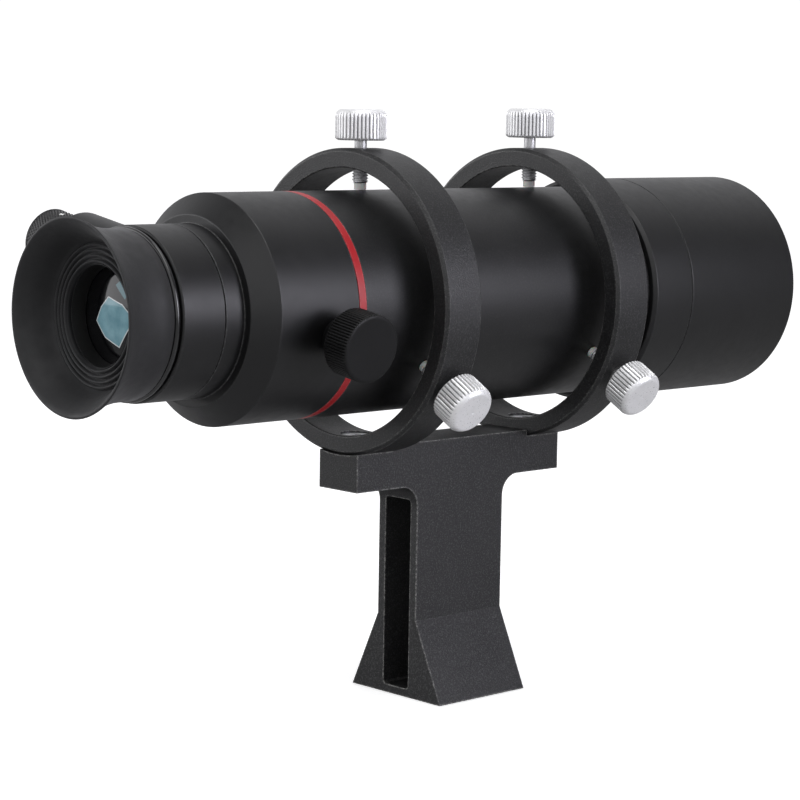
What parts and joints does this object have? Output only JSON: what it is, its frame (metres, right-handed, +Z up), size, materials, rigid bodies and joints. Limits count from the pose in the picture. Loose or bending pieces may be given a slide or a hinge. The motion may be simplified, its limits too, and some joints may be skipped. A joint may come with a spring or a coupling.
{
  "type": "finder scope",
  "caption": "Straight optical finder scope with lit reticle, held by thumbscrews in a two-ring bracket on a dovetail foot.",
  "frame": {"origin": "centre of the dovetail foot's underside", "axes": "+Z up, +Y along the optical axis from the eyepiece towards the objective, +X to the side with the lock knob"},
  "size_m": [0.1161, 0.2176, 0.1462],
  "materials": {
    "anodised_grey": "fine bead-blasted dark grey anodising",
    "anodised_black": "satin black anodising",
    "inner_black": "matt black, ridged against stray light",
    "bright_aluminium": "turned and knurled bright aluminium",
    "zinc_steel": "zinc plated steel",
    "nylon": "natural nylon",
    "red_anodised": "red anodised band",
    "gloss_black": "polished black",
    "rubber": "soft matt rubber",
    "coated_glass": "anti-reflection coated optical glass",
    "prism_glass": "optical glass prism",
    "led": "red lamp lens",
    "cell_steel": "nickel plated cell case",
    "brass": "sprung brass"
  },
  "bodies": {
    "bracket": {"bracket": "anodised_grey", "rear_ring": "anodised_grey", "front_ring": "anodised_grey", "ring_bolts": "zinc_steel"},
    "rear_top_tip": {"rear_top_tip": "nylon"},
    "rear_top_screw": {"rear_top_screw": "bright_aluminium"},
    "rear_right_tip": {"rear_right_tip": "nylon"},
    "rear_right_screw": {"rear_right_screw": "bright_aluminium"},
    "rear_left_tip": {"rear_left_tip": "nylon"},
    "rear_left_screw": {"rear_left_screw": "bright_aluminium"},
    "front_top_tip": {"front_top_tip": "nylon"},
    "front_top_screw": {"front_top_screw": "bright_aluminium"},
    "front_right_tip": {"front_right_tip": "nylon"},
    "front_right_screw": {"front_right_screw": "bright_aluminium"},
    "front_left_tip": {"front_left_tip": "nylon"},
    "front_left_screw": {"front_left_screw": "bright_aluminium"},
    "scope": {"main_tube": "anodised_black", "red_band": "red_anodised", "tube_baffles": "inner_black", "prism_cage": "inner_black", "entrance_prism": "prism_glass", "roof_prism": "prism_glass"},
    "rear_housing": {"rear_housing": "anodised_black", "reticle_cell": "inner_black", "reticle": "coated_glass", "illuminator_body": "anodised_black", "illuminator_lamp": "led", "button_cells": "cell_steel", "contact_spring": "brass"},
    "lock_tip": {"lock_tip": "brass"},
    "lock_knob": {"lock_knob": "anodised_black"},
    "dimmer_cap": {"dimmer_cap": "anodised_black"},
    "eyepiece": {"eyepiece_cell": "inner_black", "eye_lens": "coated_glass", "lens_spacer": "inner_black", "field_lens": "coated_glass", "field_retainer": "inner_black", "trim_ring": "gloss_black", "eyecup": "rubber"},
    "dioptre_ring": {"dioptre_ring": "anodised_black"},
    "objective_glass": {"crown_lens": "coated_glass", "flint_lens": "coated_glass", "objective_spacer": "inner_black"},
    "dew_shield": {"dew_shield": "anodised_black", "objective_cell": "inner_black", "objective_retainer": "inner_black"},
    "lock_ring": {"lock_ring": "anodised_black"}
  },
  "joints": [
    {"name": "scope_aim", "type": "hinge", "parent": "bracket", "child": "scope", "pos_m": [0, 0.0292, 0.0993], "axis": [1, 0, 0], "range_deg": [-1.5, 1.5]},
    {"name": "rear_top_tip_travel", "type": "slide", "parent": "bracket", "child": "rear_top_tip", "axis": [0, 0, 1], "range_m": [-0.00156, 0.00156]},
    {"name": "rear_top_screw_turn", "type": "hinge", "parent": "rear_top_tip", "child": "rear_top_screw", "pos_m": [0, -0.0292, 0.0993], "axis": [0, 0, 1], "range_deg": [-802.02, 802.02]},
    {"name": "rear_right_tip_travel", "type": "slide", "parent": "bracket", "child": "rear_right_tip", "axis": [0.866, 0, -0.5], "range_m": [-0.00078, 0.00078]},
    {"name": "rear_right_screw_turn", "type": "hinge", "parent": "rear_right_tip", "child": "rear_right_screw", "pos_m": [0, -0.0292, 0.0993], "axis": [0.866, 0, -0.5], "range_deg": [-401.01, 401.01]},
    {"name": "rear_left_tip_travel", "type": "slide", "parent": "bracket", "child": "rear_left_tip", "axis": [-0.866, 0, -0.5], "range_m": [-0.00078, 0.00078]},
    {"name": "rear_left_screw_turn", "type": "hinge", "parent": "rear_left_tip", "child": "rear_left_screw", "pos_m": [0, -0.0292, 0.0993], "axis": [-0.866, 0, -0.5], "range_deg": [-401.01, 401.01]},
    {"name": "front_top_tip_travel", "type": "slide", "parent": "bracket", "child": "front_top_tip", "axis": [0, 0, 1], "range_m": [0, 0.0028]},
    {"name": "front_top_screw_turn", "type": "hinge", "parent": "front_top_tip", "child": "front_top_screw", "pos_m": [0, 0.0292, 0.0993], "axis": [0, 0, 1], "range_deg": [0, 1440]},
    {"name": "front_right_tip_travel", "type": "slide", "parent": "bracket", "child": "front_right_tip", "axis": [0.866, 0, -0.5], "range_m": [0, 0.0028]},
    {"name": "front_right_screw_turn", "type": "hinge", "parent": "front_right_tip", "child": "front_right_screw", "pos_m": [0, 0.0292, 0.0993], "axis": [0.866, 0, -0.5], "range_deg": [0, 1440]},
    {"name": "front_left_tip_travel", "type": "slide", "parent": "bracket", "child": "front_left_tip", "axis": [-0.866, 0, -0.5], "range_m": [0, 0.0028]},
    {"name": "front_left_screw_turn", "type": "hinge", "parent": "front_left_tip", "child": "front_left_screw", "pos_m": [0, 0.0292, 0.0993], "axis": [-0.866, 0, -0.5], "range_deg": [0, 1440]},
    {"name": "housing_turn", "type": "hinge", "parent": "scope", "child": "rear_housing", "pos_m": [0, -0.0602, 0.0993], "axis": [0, 1, 0], "continuous": true},
    {"name": "lock_tip_travel", "type": "slide", "parent": "rear_housing", "child": "lock_tip", "axis": [0.9854, 0, -0.1702], "range_m": [0, 0.0014]},
    {"name": "lock_knob_turn", "type": "hinge", "parent": "lock_tip", "child": "lock_knob", "pos_m": [0, -0.0602, 0.0993], "axis": [0.9854, 0, -0.1702], "range_deg": [0, 720]},
    {"name": "dimmer_turn", "type": "hinge", "parent": "rear_housing", "child": "dimmer_cap", "pos_m": [0, -0.069, 0.0993], "axis": [-0.9854, 0, 0.1702], "range_deg": [0, 300]},
    {"name": "eyepiece_travel", "type": "slide", "parent": "rear_housing", "child": "eyepiece", "axis": [0, -1, 0], "range_m": [0, 0.003]},
    {"name": "dioptre_turn", "type": "hinge", "parent": "eyepiece", "child": "dioptre_ring", "pos_m": [0, -0.092, 0.0993], "axis": [0, -1, 0], "range_deg": [0, 300]},
    {"name": "objective_travel", "type": "slide", "parent": "scope", "child": "objective_glass", "axis": [0, 1, 0], "range_m": [0, 0.004]},
    {"name": "focus_turn", "type": "hinge", "parent": "objective_glass", "child": "dew_shield", "pos_m": [0, 0.075, 0.0993], "axis": [0, 1, 0], "range_deg": [0, 1440]},
    {"name": "lock_ring_turn", "type": "hinge", "parent": "scope", "child": "lock_ring", "pos_m": [0, 0.054, 0.0993], "axis": [0, 1, 0], "range_deg": [-90, 0]}
  ],
  "couplings": [
    {"joint": "rear_top_tip_travel", "follows": "scope_aim", "m_per_rad": -0.0584},
    {"joint": "rear_top_screw_turn", "follows": "scope_aim", "ratio": -524.2},
    {"joint": "rear_right_tip_travel", "follows": "scope_aim", "m_per_rad": 0.0292},
    {"joint": "rear_right_screw_turn", "follows": "scope_aim", "ratio": 262.1},
    {"joint": "rear_left_tip_travel", "follows": "scope_aim", "m_per_rad": 0.0292},
    {"joint": "rear_left_screw_turn", "follows": "scope_aim", "ratio": 262.1},
    {"joint": "front_top_screw_turn", "follows": "front_top_tip_travel", "rad_per_m": 8975.9},
    {"joint": "front_right_screw_turn", "follows": "front_right_tip_travel", "rad_per_m": 8975.9},
    {"joint": "front_left_screw_turn", "follows": "front_left_tip_travel", "rad_per_m": 8975.9},
    {"joint": "lock_knob_turn", "follows": "lock_tip_travel", "rad_per_m": 8975.9},
    {"joint": "dioptre_turn", "follows": "eyepiece_travel", "rad_per_m": 1745.3},
    {"joint": "focus_turn", "follows": "objective_travel", "rad_per_m": 6283.1}
  ]
}
